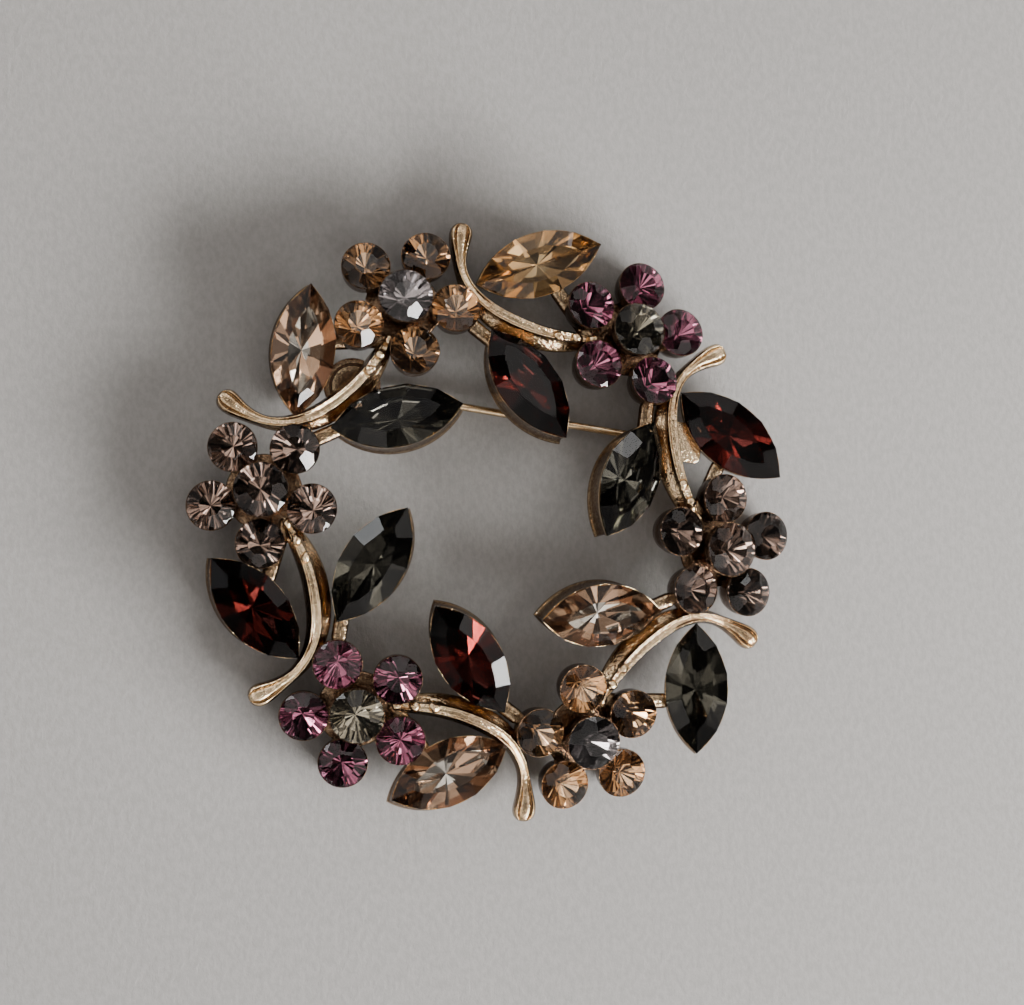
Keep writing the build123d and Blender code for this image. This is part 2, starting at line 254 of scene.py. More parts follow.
def cutGlass(name):  # glass, crown and the foil's three copies, lit and shaded as painted light and shade
    look = glasses[name]
    shine = look.get("shine", cutStone["shine"])
    fixed = {
        "Transmission Weight": 1.0,
        "IOR": cutStone["ior"],
        "Specular Tint": tone(shine, shine, shine),
    }
    finishes = [finish(f"{name} {part}", fixed, clear(look[part])) for part in ("glass", "crown")]
    # painted light and shade: the foil in three copies, each at its own brightness
    for number, share in enumerate(look.get("paintedWedgeLight", cutStone["paintedWedgeLight"]), start=1):
        backing = foiled(look["foil"], share)
        finishes.append(finish(f"{name} foil {number}", {"Metallic": 1.0}, backing))
    return finishes


cutGlasses = {name: cutGlass(name) for name in glasses}
print("finishes made")

table = {
    "size": 2.4,
    "pale": tone(0.25, 0.242, 0.233),
    "dull": tone(0.208, 0.201, 0.194),
    "fibreScale": 1900, "fibreStretch": (1.0, 0.6, 1.0), "fibreRange": (0.35, 0.65, 0.0, 0.55),
    "mottleScale": 6, "mottleRange": (0.3, 0.7, 0.0, 0.45),
    "roughRange": (0.2, 0.8, 0.75, 0.95),
    "reliefStrength": 0.35, "reliefDepth": 0.00013,
}


def paper(s):
    fibres = s.noise(table["fibreScale"], 3, 0.7, table["fibreStretch"])
    mottle = s.noise(table["mottleScale"], 3).between(*table["mottleRange"])
    mottle = fibres.between(*table["fibreRange"]) + mottle
    return {
        "Base Color": mottle.blend(table["pale"], table["dull"]),
        "Roughness": fibres.between(*table["roughRange"]),
        "Normal": fibres.bump(table["reliefStrength"], table["reliefDepth"]),
    }


bpy.ops.object.select_all(action="DESELECT")
bpy.ops.mesh.primitive_plane_add(size=table["size"])
ground = bpy.context.object
ground.name = "floor"
ground.data.materials.append(finish("pale paper", {}, paper))

# windows, a door, a soft curtain, a shelf and cards round the table: direction, distance in
# metres, width and height as seen from the brooch, all angles in degrees, and glow; the daylight
# falls on the table and shows in no facet, the rest shows in the metal and glass only
lampColumns = ("azimuth", "height", "far", "wide", "high", "glow", "tint")
lamps = {
    "pane": (-45.0, 46.3, 3.0, 13.0, 11.5, 68.0, (1.0, 0.98, 0.96)),
    "sidePane": (-61.0, 37.0, 3.0, 5.0, 3.6, 60.0, (1.0, 0.98, 0.96)),
    "lowPane": (-19.0, 30.0, 3.0, 9.0, 6.5, 66.0, (1.0, 0.98, 0.96)),
    "door": (-57.0, 25.0, 3.0, 26.0, 6.0, 60.0, (1.0, 0.98, 0.96)),
    "curtain": (-38.0, 38.0, 3.0, 40.0, 20.0, 0.5, (1.0, 0.97, 0.94)),
    "daylight": (-36.0, 15.5, 0.6, 45.0, 11.0, 168.0, (1.0, 0.99, 0.98)),
    "farPane": (138.0, 22.0, 3.0, 17.0, 17.0, 8.0, (0.94, 0.97, 1.0)),
    "shelf": (95.0, 56.0, 3.0, 70.0, 22.0, 0.6, (1.0, 0.98, 0.95)),
    "cardRight": (20.0, 52.0, 3.0, 12.0, 15.0, 1.6, (1.0, 0.97, 0.94)),
    "cardBack": (76.0, 38.0, 3.0, 9.0, 9.0, 5.0, (1.0, 1.0, 1.0)),
    "cardFront": (-98.0, 48.0, 3.0, 12.0, 15.0, 1.4, (1.0, 0.97, 0.94)),
    "cardLeft": (192.0, 48.0, 3.0, 14.0, 14.0, 1.1, (0.96, 0.98, 1.0)),
}
for name, row in lamps.items():
    lamp = dict(zip(lampColumns, row))
    azimuth, rise = radians(lamp["azimuth"]), radians(lamp["height"])
    light = bpy.data.lights.new(name, "AREA")
    light.shape = "RECTANGLE"
    light.size = 2 * lamp["far"] * tan(radians(lamp["wide"] / 2)) * cos(rise)
    light.size_y = 2 * lamp["far"] * tan(radians(lamp["high"] / 2))
    light.energy = lamp["glow"] * pi * light.size * light.size_y
    light.color = lamp["tint"]
    holder = bpy.data.objects.new(name, light)
    bpy.context.scene.collection.objects.link(holder)
    way = Vector((cos(rise) * cos(azimuth), cos(rise) * sin(azimuth), sin(rise)))
    holder.location = way * lamp["far"]
    holder.rotation_euler = (-holder.location).to_track_quat("-Z", "Y").to_euler()
    holder.visible_diffuse = name == "daylight"
    holder.visible_glossy = holder.visible_transmission = name != "daylight"

# the room behind the lamps: patches of wall and ceiling, darker near the table and straight above;
# ranges of noise or height, and the glow at both ends
room = {
    "tint": tone(1.0, 0.945, 0.90),
    "patchScale": 6.0, "patchDetail": 1.5, "patchRange": (0.46, 0.55, 0.10, 1.7),
    "riseRange": (0.10, 0.46, 0.2, 1.0), "overheadRange": (0.88, 0.96, 1.0, 0.3),
    "bounces": 10,
}
world = bpy.data.worlds.new("room")
world.use_nodes = True
skyward = Shade(world.node_tree).node("ShaderNodeTexCoord")
patches = skyward.node(
    "ShaderNodeTexNoise",
    inputs={"Vector": skyward, "Scale": room["patchScale"], "Detail": room["patchDetail"]},
)
height = skyward.node("ShaderNodeSeparateXYZ", inputs={"Vector": skyward}, output=2)
glow = patches.between(*room["patchRange"]) * height.between(*room["riseRange"])
glow = glow * height.between(*room["overheadRange"])
background = world.node_tree.nodes["Background"]
background.inputs["Color"].default_value = room["tint"]
world.node_tree.links.new(glow.socket, background.inputs["Strength"])
bpy.context.scene.world = world
bpy.context.scene.cycles.glossy_bounces = room["bounces"]

# place in millimetres, turn in degrees, the rest as on a real lens
view = {
    "place": (-55.187, -9.184, 252.365), "turn": (2.6728, -12.7808, -1.1114),
    "lens": 99.585, "sensor": 36.0, "near": 0.01,
}
lens = bpy.data.cameras.new("camera")
lens.lens = view["lens"]
lens.sensor_width = view["sensor"]
lens.clip_start = view["near"]
camera = bpy.data.objects.new("camera", lens)
camera.location = Vector(view["place"]) * mm
camera.rotation_euler = Euler([radians(v) for v in view["turn"]], "XYZ")
bpy.context.scene.collection.objects.link(camera)
bpy.context.scene.camera = camera
print("floor, light and camera placed")


def shift(x=0.0, y=0.0, z=0.0):
    return Matrix.Translation(Vector((x, y, z)) * mm)


def turn(angle, axis):
    return Matrix.Rotation(radians(angle), 4, axis)


# where the sprays, flowers and leaves are, in millimetres and degrees; a leaf's out and along are
# shares of the wreath's radius
wreath = {
    "sprays": 6, "firstAngle": 112.3, "seat": 3.81, "radius": 21.4, "lean": 13.0,
    "petals": 5, "petalTurn": 22.7, "petalRing": 4.69, "centreRise": 1.4, "leafLength": 12.0,
}
outerLeaf = {
    "out": 0.927, "along": -0.324, "rise": -0.934, "heading": -93.3, "pitch": 7.0, "roll": 4.0,
}
innerLeaf = {
    "out": 0.750, "along": -0.293, "rise": 0.371, "heading": -168.7, "pitch": 11.8, "roll": -17.0,
}
leafBends = (  # outer shift as a share of a leaf, turn and roll, inner turn and roll
    (0.040, -1.5, -0.7, -2.0, 9.0),
    (0.015, -0.8, 3.5, -0.6, 4.0),
    (0.000, 7.8, 7.8, -0.2, 2.0),
    (-0.072, 3.4, 1.0, 1.0, 2.5),
    (0.060, -8.0, -3.0, -5.0, 3.8),
    (-0.064, 4.5, -4.5, 6.0, 1.5),
)


def onRadius(out, along, height=0.0):
    return Vector((wreath["radius"] * out, wreath["radius"] * along, height))


def leafPlace(leaf, slide, extraTurn, extraRoll):
    radius, length = wreath["radius"], wreath["leafLength"]
    tip = shift(radius * leaf["out"] + slide * length, radius * leaf["along"], leaf["rise"])
    hang = turn(leaf["heading"] + extraTurn, "Z") @ turn(-leaf["pitch"], "Y")
    return tip @ (hang @ turn(leaf["roll"] + extraRoll, "X")) @ shift(length / 2)


sprayPlaces = {
    n + 1: shift(z=wreath["seat"]) @ turn(wreath["firstAngle"] - 360 / wreath["sprays"] * n, "Z")
    for n in range(wreath["sprays"])
}
flowerPlace = shift(wreath["radius"]) @ turn(wreath["lean"], "Y")
petalPlaces = [
    flowerPlace
    @ turn(wreath["petalTurn"] + 360 / wreath["petals"] * n, "Z")
    @ shift(wreath["petalRing"])
    for n in range(wreath["petals"])
]
centrePlace = flowerPlace @ shift(z=wreath["centreRise"])
outerPlaces = {n: leafPlace(outerLeaf, *bend[:3]) for n, bend in enumerate(leafBends, start=1)}
innerPlaces = {n: leafPlace(innerLeaf, 0.0, *bend[3:]) for n, bend in enumerate(leafBends, start=1)}


def only(*pieces):  # selects these and nothing else
    bpy.ops.object.select_all(action="DESELECT")
    for piece in pieces:
        piece.select_set(True)
    bpy.context.view_layer.objects.active = pieces[0]


def edit(piece, kind="FACE"):
    only(piece)
    bpy.ops.object.mode_set(mode="EDIT")
    bpy.ops.mesh.select_mode(type=kind)


def done():
    bpy.ops.object.mode_set(mode="OBJECT")


def pick(piece, kind, wanted):  # in edit mode, selects the verts, edges or faces that are wanted
    bpy.ops.mesh.select_all(action="DESELECT")
    mesh = bmesh.from_edit_mesh(piece.data)
    for item in getattr(mesh, kind):
        if wanted(item):
            item.select_set(True)
    mesh.select_flush_mode()
    bmesh.update_edit_mesh(piece.data)


def drawnOut(way):  # extrudes what is selected
    bpy.ops.mesh.extrude_region_move(TRANSFORM_OT_translate={"value": way})


def outwards():  # in edit mode, turns all faces outwards
    bpy.ops.mesh.select_all(action="SELECT")
    bpy.ops.mesh.normals_make_consistent(inside=False)


def added(name):  # names the primitive just added, and puts its place into its mesh
    piece = bpy.context.object
    piece.name = piece.data.name = name
    only(piece)
    bpy.ops.object.transform_apply(location=True, rotation=True, scale=True)
    return piece


def applied(piece, kind, **settings):
    only(piece)
    modifier = piece.modifiers.new(kind.lower(), kind)
    for name, value in settings.items():
        setattr(modifier, name, value)
    bpy.ops.object.modifier_apply(modifier=modifier.name)
    return piece


def rounded(piece, width, segments=3, angle=35.0):
    limit = {"limit_method": "ANGLE", "angle_limit": radians(angle)}
    return applied(piece, "BEVEL", width=width * mm, segments=segments, **limit)


def placed(piece, place, name):  # a copy with its own mesh, at its place
    made = piece.copy()
    made.data = piece.data.copy()
    made.name = made.data.name = name
    bpy.context.scene.collection.objects.link(made)
    made.data.transform(place)
    return made


def dropped(*pieces):
    for piece in pieces:
        bpy.data.objects.remove(piece)


def cut(piece, cutter, operation="DIFFERENCE"):
    applied(piece, "BOOLEAN", operation=operation, solver="EXACT", object=cutter)
    dropped(cutter)
    return piece


def joined(name, pieces):
    only(*pieces)
    if len(pieces) > 1:
        bpy.ops.object.join()
    whole = bpy.context.object
    whole.name = whole.data.name = name
    return whole


# painted shade on the metal: how dark it is painted on flanks, between the upward shares of an
# upright and a steep normal, in hollows, how much less on the plain back, and deep inside some
# pieces
paintedShadeAmounts = {
    "flank": 0.72, "upright": 0.93, "steep": 0.35, "hollow": 1.8,
    "back": 0.65, "backFrom": 0.5, "backFull": 0.9,
    "roundCup": 0.8, "flowerFloor": 0.85, "strap": 0.6, "hingePad": 0.9,
}


def rampUp(value, start, full):
    return min(1.0, max(0.0, (value - start) / (full - start)))


def markPaintedShade(piece, deep=0.0):  # painted shade: an attribute, 0 on open metal, 1 on flanks and in grooves, where the metal is painted darker
    shape = bmesh.new()
    shape.from_mesh(piece.data)
    shape.normal_update()
    depths = []
    for point in shape.verts:
        up = point.normal.z
        flank = paintedShadeAmounts["flank"] * rampUp(up, paintedShadeAmounts["upright"], paintedShadeAmounts["steep"])
        ends = [edge.other_vert(point).co - point.co for edge in point.link_edges]
        reach = sum(end.length for end in ends) or 1.0
        hollow = deep + paintedShadeAmounts["hollow"] * sum((end.dot(point.normal) for end in ends), 0.0) / reach
        back = paintedShadeAmounts["back"] * rampUp(-up, paintedShadeAmounts["backFrom"], paintedShadeAmounts["backFull"])
        depths.append(min(1.0, max(0.0, flank + hollow)) * (1.0 - back))
    shape.free()
    mark = piece.data.attributes.new("paintedShade", "FLOAT", "POINT")
    mark.data.foreach_set("value", depths)
    return piece


def cast(piece, smoothAngle=40.0):  # the last steps of every cast piece
    # every cast piece gets painted shade, if it has none yet
    if "paintedShade" not in piece.data.attributes:
        markPaintedShade(piece)
    only(piece)
    bpy.ops.object.shade_smooth_by_angle(angle=radians(smoothAngle))
    piece.data.materials.clear()
    piece.data.materials.append(castMetal)
    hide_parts("wreath_setting")
    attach(piece, "brooch")


def turned(name, profile, sides):  # a ring drawn up through radii and heights, closed at both ends
    radius, height = profile[0]
    bpy.ops.object.select_all(action="DESELECT")
    bpy.ops.mesh.primitive_circle_add(
        vertices=sides, radius=radius * mm, location=(0, 0, height * mm), fill_type="NGON"
    )
    piece = added(name)
    edit(piece)
    bpy.ops.mesh.select_all(action="SELECT")
    for nextRadius, nextHeight in profile[1:]:
        drawnOut((0, 0, (nextHeight - height) * mm))
        share = nextRadius / radius
        middle = (0, 0, nextHeight * mm)
        bpy.ops.transform.resize(value=(share, share, 1.0), center_override=middle)
        radius, height = nextRadius, nextHeight
    outwards()
    done()
    return piece


flowerGlass = ("topaz", "amethyst", "smoke", "topaz", "amethyst", "smoke")
centreGlass = ("blackDiamond", "olive", "smoke", "blackDiamond", "olive", "smoke")
outerGlass = ("amber", "garnet", "darkGrey", "champagne", "garnet", "champagne")
innerGlass = ("garnet", "darkGrey", "champagne", "garnet", "darkGrey", "darkGrey")

# the stones in millimetres; a facet is foiled or the table by the upward share of its normal, and a
# list says which of the foil's lit or shaded copies, painted light and shade, lies behind each
# lower facet, moved on by petalStep and sprayStep from one petal and spray to the next so that
# neighbours differ
stones = {
    "petalDepth": 1.85, "centreDepth": 2.05, "leafDepth": 2.36, "seatShare": 1.015,
    "petalSpread": 1.04, "centreSpread": 1.03,
    "culetShift": (0.10, -0.07, 0.0), "wedges": 16, "wedgeStep": 0.11,
    "mergeWithin": 0.002, "flatWithin": 0.5, "belowGirdle": -0.05, "girdleWithin": 0.02,
    "foiledBelow": -0.3, "tableAbove": 0.95,
    "paintedWedgeLight": (0, 2, 0, 1, 2, 0, 2, 0, 0, 2, 1, 0, 2, 0, 2, 0),
    "leafPaintedWedgeLight": (0, 1, 0, 2, 0, 1, 0, 1, 0, 2),
    "petalStep": 5, "sprayStep": 3,
}


def everyOther(v):  # every second corner of a round stone's girdle
    number = round(atan2(v.co.y, v.co.x) / pi * stones["wedges"] / 2)
    return abs(v.co.z) < stones["girdleWithin"] * mm and number % 2


def gemFrom(node, place, depth, spread=1.0):
    # the CAD stone in its own frame; its lower facets run together in one point
    bpy.ops.object.select_all(action="DESELECT")
    gem = bpy.data.objects.new("gem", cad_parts[node].data.copy())
    bpy.context.scene.collection.objects.link(gem)
    gem.data.transform(Matrix.Diagonal((spread, spread, 1.0, 1.0)) @ place.inverted())
    edit(gem, "VERT")
    bpy.ops.mesh.select_all(action="SELECT")
    bpy.ops.mesh.remove_doubles(threshold=stones["mergeWithin"] * mm)
    bpy.ops.mesh.dissolve_limited(angle_limit=radians(stones["flatWithin"]))
    below = stones["belowGirdle"] * mm
    pick(gem, "verts", lambda v: v.co.z < below)
    bpy.ops.mesh.merge(type="CENTER")
    low = next(v for v in bmesh.from_edit_mesh(gem.data).verts if v.co.z < below)
    culet = Vector((0, 0, -depth * mm))
    handCut = spread > 1.0  # a round stone's point is off the middle, and every other wedge tilted
    if handCut:
        culet += Vector(stones["culetShift"]) * mm
    bpy.ops.transform.translate(value=culet - low.co)
    if handCut:
        pick(gem, "verts", everyOther)
        bpy.ops.transform.translate(value=(0, 0, -stones["wedgeStep"] * mm))
    outwards()
    done()
    bpy.ops.object.shade_flat()
    return gem


def stoneSet(gem, node, glass, place, paintedWedgeLight, start):
    stone = placed(gem, place, node + "_gem")
    stone.data.materials.clear()
    for made in cutGlasses[glass]:
        stone.data.materials.append(made)
    for face, source in zip(stone.data.polygons, gem.data.polygons):
        up = source.normal
        if up.z < stones["foiledBelow"]:
            # painted light and shade: each lower facet gets one of the foil's lit or shaded copies,
            # in turn round the stone
            share = Vector((1, 0)).angle_signed(up.to_2d()) / (2 * pi)
            face.material_index = 2 + paintedWedgeLight[(round(share * len(paintedWedgeLight)) + start) % len(paintedWedgeLight)]
        else:
            face.material_index = 0 if up.z > stones["tableAbove"] else 1
    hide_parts(node)
    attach(stone, "brooch")


spray = sprayPlaces[1]
petalGem = gemFrom(
    "flower_1_petal_1", spray @ petalPlaces[0], stones["petalDepth"], stones["petalSpread"]
)
centreGem = gemFrom(
    "flower_1_centre", spray @ centrePlace, stones["centreDepth"], stones["centreSpread"]
)
leafGem = gemFrom("outer_leaf_1", spray @ outerPlaces[1], stones["leafDepth"])
paintedWedgeLight, leafPaintedWedgeLight = stones["paintedWedgeLight"], stones["leafPaintedWedgeLight"]
for number, spray in sprayPlaces.items():
    petalGlass, middleGlass = flowerGlass[number - 1], centreGlass[number - 1]
    for petal, place in enumerate(petalPlaces, start=1):
        start = stones["petalStep"] * petal + stones["sprayStep"] * number
        node = f"flower_{number}_petal_{petal}"
        stoneSet(petalGem, node, petalGlass, spray @ place, paintedWedgeLight, start)
    stoneSet(centreGem, f"flower_{number}_centre", middleGlass, spray @ centrePlace, paintedWedgeLight, number)
    leaves = (("outer", outerGlass, outerPlaces), ("inner", innerGlass, innerPlaces))
    for leaf, glass, places in leaves:
        node = f"{leaf}_leaf_{number}"
        stoneSet(leafGem, node, glass[number - 1], spray @ places[number], leafPaintedWedgeLight, number)
print("stones set")

# cups of the round stones: radius and height from foot to rim and down into the seat
petalCup = {"sides": 40, "profile": (
    (1.70, -2.25), (1.83, -2.18), (1.98, -1.75), (2.10, -1.30), (2.16, -0.90), (2.18, -0.45),
    (2.20, -0.15), (2.235, -0.08), (2.245, 0.0), (2.23, 0.06), (2.20, 0.07), (2.17, 0.05),
    (2.16, -0.02), (1.35, -0.96), (0.45, -1.98),
)}
centreCup = {"sides": 44, "profile": (
    (1.55, -2.25), (1.66, -2.10), (1.85, -1.75), (2.14, -1.35), (2.34, -1.00), (2.41, -0.60),
    (2.43, -0.15), (2.47, -0.08), (2.48, 0.0), (2.465, 0.06), (2.435, 0.07), (2.405, 0.05),
    (2.395, -0.02), (1.50, -1.06), (0.50, -2.10),
)}
flowerFloor = {"sides": 48, "profile": (
    (3.20, -2.25), (3.40, -2.18), (3.45, -2.05), (3.45, -1.85), (3.38, -1.74), (3.20, -1.70),
    (1.66, -1.68),
)}


def seated(piece, gem):  # takes a slightly larger stone out of a cup
    return cut(piece, placed(gem, Matrix.Scale(stones["seatShare"], 4), "seat"))


def roundCup(name, cup, gem):
    return markPaintedShade(seated(turned(name, cup["profile"], cup["sides"]), gem), paintedShadeAmounts["roundCup"])


petalCupPiece = roundCup("petalCup", petalCup, petalGem)
centreCupPiece = roundCup("centreCup", centreCup, centreGem)
floorPiece = turned("flowerFloor", flowerFloor["profile"], flowerFloor["sides"])
markPaintedShade(floorPiece, paintedShadeAmounts["flowerFloor"])
for number, spray in sprayPlaces.items():
    parts = [placed(petalCupPiece, spray @ place, "cup") for place in petalPlaces]
    parts.append(placed(centreCupPiece, spray @ centrePlace, "cup"))
    parts.append(placed(floorPiece, spray @ flowerPlace, "base"))
    cast(joined(f"flower_{number}_cups", parts))
dropped(petalCupPiece, centreCupPiece, floorPiece)
print("flower cups made")

# cup under a leaf stone: two discs crossed, then heights and shares of the outline down the foot's
# rounded bead, and hollowed from the rim for the stone
leafCup = {
    "halfLength": 5.96, "halfWidth": 2.885, "steps": 104,
    "top": -0.07, "low": -0.30, "lowShare": 0.992,
    "foot": (
        (-0.60, 0.972), (-1.00, 0.955), (-1.50, 0.948), (-1.85, 0.955), (-2.00, 0.970),
        (-2.14, 0.980), (-2.29, 0.978), (-2.40, 0.960), (-2.45, 0.925),
    ),
    "rimShare": 0.985, "seat": -2.42, "seatShare": 0.10,
}


def leafCupPiece():
    halfLength, halfWidth = leafCup["halfLength"], leafCup["halfWidth"]
    radius = (halfLength**2 + halfWidth**2) / (2 * halfWidth)
    depth, middle = leafCup["top"] - leafCup["low"], (leafCup["top"] + leafCup["low"]) / 2
    discs = []
    for side in (-1, 1):
        bpy.ops.object.select_all(action="DESELECT")
        bpy.ops.mesh.primitive_cylinder_add(
            vertices=leafCup["steps"], radius=radius * mm, depth=depth * mm,
            location=(0, side * (radius - halfWidth) * mm, middle * mm),
        )
        discs.append(added("disc"))
    cup = cut(discs[0], discs[1], "INTERSECT")
    edit(cup)
    pick(cup, "faces", lambda face: face.normal.z < -0.9)
    height, share = leafCup["low"], leafCup["lowShare"]
    bpy.ops.transform.resize(value=(share, share, 1.0))
    for nextHeight, nextShare in leafCup["foot"]:
        drawnOut((0, 0, (nextHeight - height) * mm))
        bpy.ops.transform.resize(value=(nextShare / share, nextShare / share, 1.0))
        height, share = nextHeight, nextShare
    pick(cup, "faces", lambda face: face.normal.z > 0.9)
    hollow = ((leafCup["top"], leafCup["rimShare"]), (leafCup["seat"], leafCup["seatShare"]))
    for nextHeight, share in hollow:
        drawnOut((0, 0, (nextHeight - leafCup["top"]) * mm))
        bpy.ops.transform.resize(value=(share, share, 1.0))
    done()
    return cup


leafCupSolid = seated(leafCupPiece(), leafGem)
for number, spray in sprayPlaces.items():
    cast(placed(leafCupSolid, spray @ outerPlaces[number], f"outer_leaf_{number}_cup"))
    cast(placed(leafCupSolid, spray @ innerPlaces[number], f"inner_leaf_{number}_cup"))
dropped(leafCupSolid, petalGem, centreGem, leafGem)
print("leaf cups made")

# bud and stem, from the bud's tip to the next flower; out and along are shares of the wreath's
# radius, the rest is in millimetres, and face is how far the crest's middle fills its groove
twigColumns = ("out", "along", "crest", "depth", "outer", "inner", "top", "groove", "face")
twigRows = (
    (1.214, -0.385, -1.90, 0.50, 0.24, 0.24, 0.14, 0.02, 1.0),
    (1.207, -0.381, -1.58, 1.00, 0.66, 0.66, 0.48, 0.20, 1.0),
    (1.192, -0.371, -1.40, 1.35, 0.98, 0.98, 0.74, 0.40, 1.0),
    (1.168, -0.355, -1.32, 1.48, 1.08, 1.08, 0.80, 0.48, 1.0),
    (1.135, -0.336, -1.36, 1.46, 0.94, 0.94, 0.66, 0.44, 0.9),
    (1.096, -0.319, -1.46, 1.35, 0.74, 0.74, 0.48, 0.34, 0.7),
    (1.030, -0.296, -1.38, 1.24, 0.52, 0.56, 0.32, 0.20, 0.3),
    (0.950, -0.292, -0.77, 1.48, 0.60, 0.88, 0.34, 0.17, 0.0),
    (0.855, -0.319, 0.04, 1.94, 0.70, 1.34, 0.40, 0.15, 0.0),
    (0.766, -0.383, 0.40, 2.12, 0.74, 1.68, 0.42, 0.15, 0.0),
    (0.664, -0.486, 0.40, 2.12, 0.74, 1.78, 0.40, 0.14, 0.0),
    (0.596, -0.590, 0.13, 1.94, 0.68, 1.44, 0.34, 0.12, 0.0),
    (0.542, -0.700, -0.40, 1.58, 0.56, 0.88, 0.26, 0.08, 0.0),
)
# its section: flanks and shoulder as shares of a half width and of the depth, then, as shares of
# the crest's half width, its side, and the lip, wall and bed of the groove with what face adds
twigSection = {
    "outer": ((0.86, 1.0), (1.0, 0.72), (0.96, 0.45)),
    "inner": ((0.92, 0.45), (1.0, 0.70), (0.88, 1.0)),
    "shoulder": (1.35, 0.20), "side": 1.12, "sideDrop": 0.07,
    "lip": (0.80, 0.10), "lipDrop": 0.02, "wall": (0.46, 0.30), "bed": (0.26, 0.34),
    "smoothAngle": 60.0,
}


def twigRing(number):  # the points round the twig at one row, in the spray's frame
    rows = [dict(zip(twigColumns, row)) for row in twigRows]
    row, before = rows[number], rows[max(number - 1, 0)]
    after = rows[min(number + 1, len(rows) - 1)]
    run = Vector((after["out"] - before["out"], after["along"] - before["along"])).normalized()
    top, groove, depth, face = (row[key] for key in ("top", "groove", "depth", "face"))
    lip, wall, bed = (
        top * (plain + filled * face)
        for plain, filled in (twigSection[key] for key in ("lip", "wall", "bed"))
    )
    shoulder, shoulderDepth = twigSection["shoulder"]
    bedHeight = -groove * (1.0 - face)
    half = (
        (top * shoulder, -depth * shoulderDepth),
        (top * twigSection["side"], -twigSection["sideDrop"]), (top, 0.0),
        (lip, -twigSection["lipDrop"]), (wall, -groove), (bed, bedHeight),
    )
    section = (
        *((row["outer"] * w, -depth * h) for w, h in twigSection["outer"]),
        *half, (0.0, bedHeight), *((-w, h) for w, h in reversed(half)),
        *((-row["inner"] * w, -depth * h) for w, h in twigSection["inner"]),
    )
    centre = onRadius(row["out"], row["along"], row["crest"])
    return [(centre + Vector((-run.y * w, run.x * w, h))) * mm for w, h in section]


def twigPiece():  # a ring drawn out from row to row, its points moved to each row's section
    bpy.ops.object.select_all(action="DESELECT")
    bpy.ops.mesh.primitive_circle_add(vertices=len(twigRing(0)), radius=mm, fill_type="NGON")
    piece = added("twig")
    edit(piece, "VERT")
    bpy.ops.mesh.select_all(action="SELECT")
    for number in range(len(twigRows)):
        goals = twigRing(number)
        if number:
            lastRing = twigRing(number - 1)
            step = goals[0] - lastRing[0]
            drawnOut(tuple(step))
        mesh = bmesh.from_edit_mesh(piece.data)
        mesh.verts.ensure_lookup_table()
        chosen = [v.index for v in mesh.verts if v.select]
        order = range(len(goals))
        if number:  # each new point follows the one that it was drawn from
            starts = [mesh.verts[i].co - step for i in chosen]
            order = [min(order, key=lambda k: (start - lastRing[k]).length) for start in starts]
        moves = [(i, goals[k] - mesh.verts[i].co) for i, k in zip(chosen, order)]
        for index, way in moves:
            pick(piece, "verts", lambda v: v.index == index)
            bpy.ops.transform.translate(value=way)
        pick(piece, "verts", lambda v: v.index in chosen)
    outwards()
    done()
    return applied(piece, "SUBSURF", levels=2, render_levels=2)


# drops of solder where the twig meets the next flower: out and along as above, height, size and
# stretch; each is flattened, pinched at one end, and turned by its own stretch
solderDrops = (
    (0.612, -0.560, 0.16, 0.46, 1.3),
    (0.575, -0.632, -0.06, 0.52, 1.1),
    (0.540, -0.702, -0.34, 0.44, 1.4),
)
solder = {"flat": 0.85, "pinchFrom": 0.3, "pinch": (1.0, 0.75, 0.8), "pinchTurn": 35, "turn": 90}


def turnedBy(angle):  # turns what is selected about the middle
    bpy.ops.transform.rotate(value=radians(angle), orient_axis="Z", center_override=(0, 0, 0))


def dropPiece(out, along, height, size, stretch):
    bpy.ops.object.select_all(action="DESELECT")
    bpy.ops.mesh.primitive_ico_sphere_add(subdivisions=3, radius=size * mm)
    piece = added("drop")
    edit(piece)
    bpy.ops.mesh.select_all(action="SELECT")
    bpy.ops.transform.resize(value=(stretch, 1.0, solder["flat"]))
    pick(piece, "verts", lambda v: v.co.x > solder["pinchFrom"] * size * mm)
    bpy.ops.transform.resize(value=solder["pinch"])
    turnedBy(solder["pinchTurn"] * stretch)
    bpy.ops.mesh.select_all(action="SELECT")
    turnedBy(solder["turn"] * stretch)
    done()
    piece.data.transform(shift(*onRadius(out, along, height)))
    return piece


twigSolid = joined("twig", [twigPiece()] + [dropPiece(*row) for row in solderDrops])
for number, spray in sprayPlaces.items():
    cast(placed(twigSolid, spray, f"twig_{number}"), twigSection["smoothAngle"])
dropped(twigSolid)
print("twigs made")

# straps that tie the leaves to the flowers: one from the outer leaf's side to the twig's end, one,
# higher by rise, from a petal's edge to the root of the inner leaf
strap = {
    "width": 1.4, "thick": 0.9, "edge": 0.42, "sides": 28, "top": -1.05, "rise": 0.5,
    "onLeaf": (1.2, -2.925, 0.0), "rootShare": -0.36, "rootPetal": 4, "start": 2.5,
}


